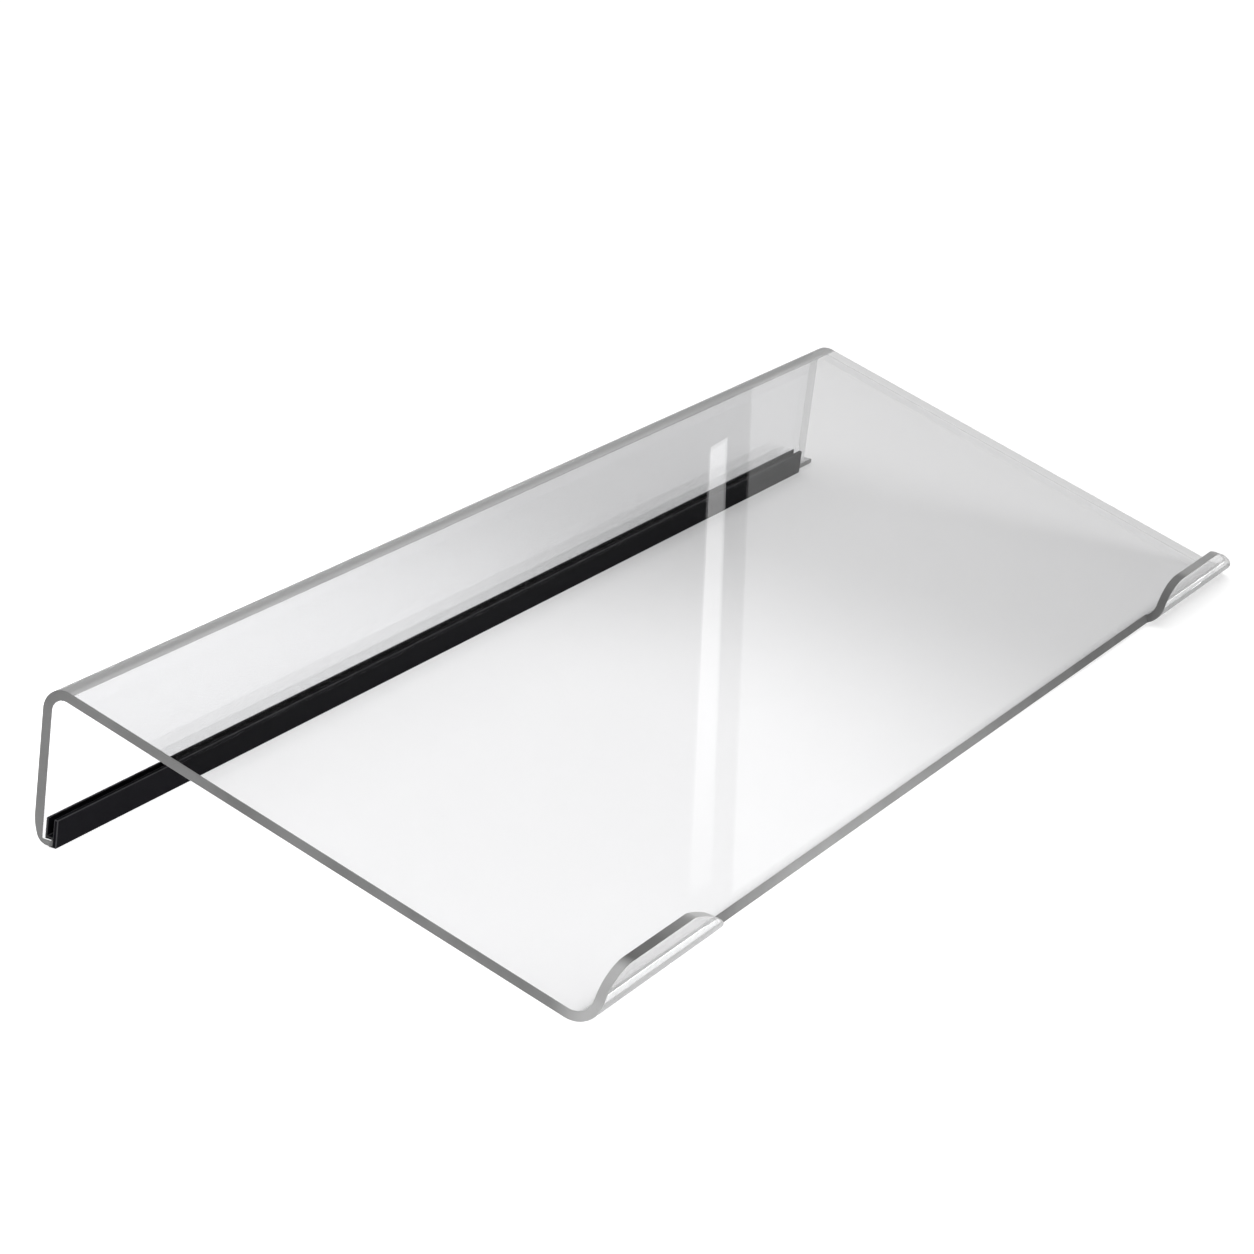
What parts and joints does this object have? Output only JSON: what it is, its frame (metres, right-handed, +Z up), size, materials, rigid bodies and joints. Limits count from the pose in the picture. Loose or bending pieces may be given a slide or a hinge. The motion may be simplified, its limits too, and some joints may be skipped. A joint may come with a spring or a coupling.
{
  "type": "sloped desk stand",
  "caption": "Sloped desk stand: one clear acrylic sheet bent into a panel, rear leg, foot and two front lips, standing on a black rubber foot strip.",
  "frame": {"origin": "centre of the stand's footprint box at desk level", "axes": "+X along the width, to the right when seen from the front lips; +Y from the front lips to the rear leg; +Z up"},
  "size_m": [0.51, 0.1808, 0.0472],
  "materials": {
    "clear_acrylic": "clear, polished faces, satin grey cut edges",
    "black_rubber": "matt black, smooth extruded"
  },
  "bodies": {
    "root": {"acrylic_stand_body": "clear_acrylic", "rubber_foot_strip": "black_rubber"}
  },
  "joints": []
}
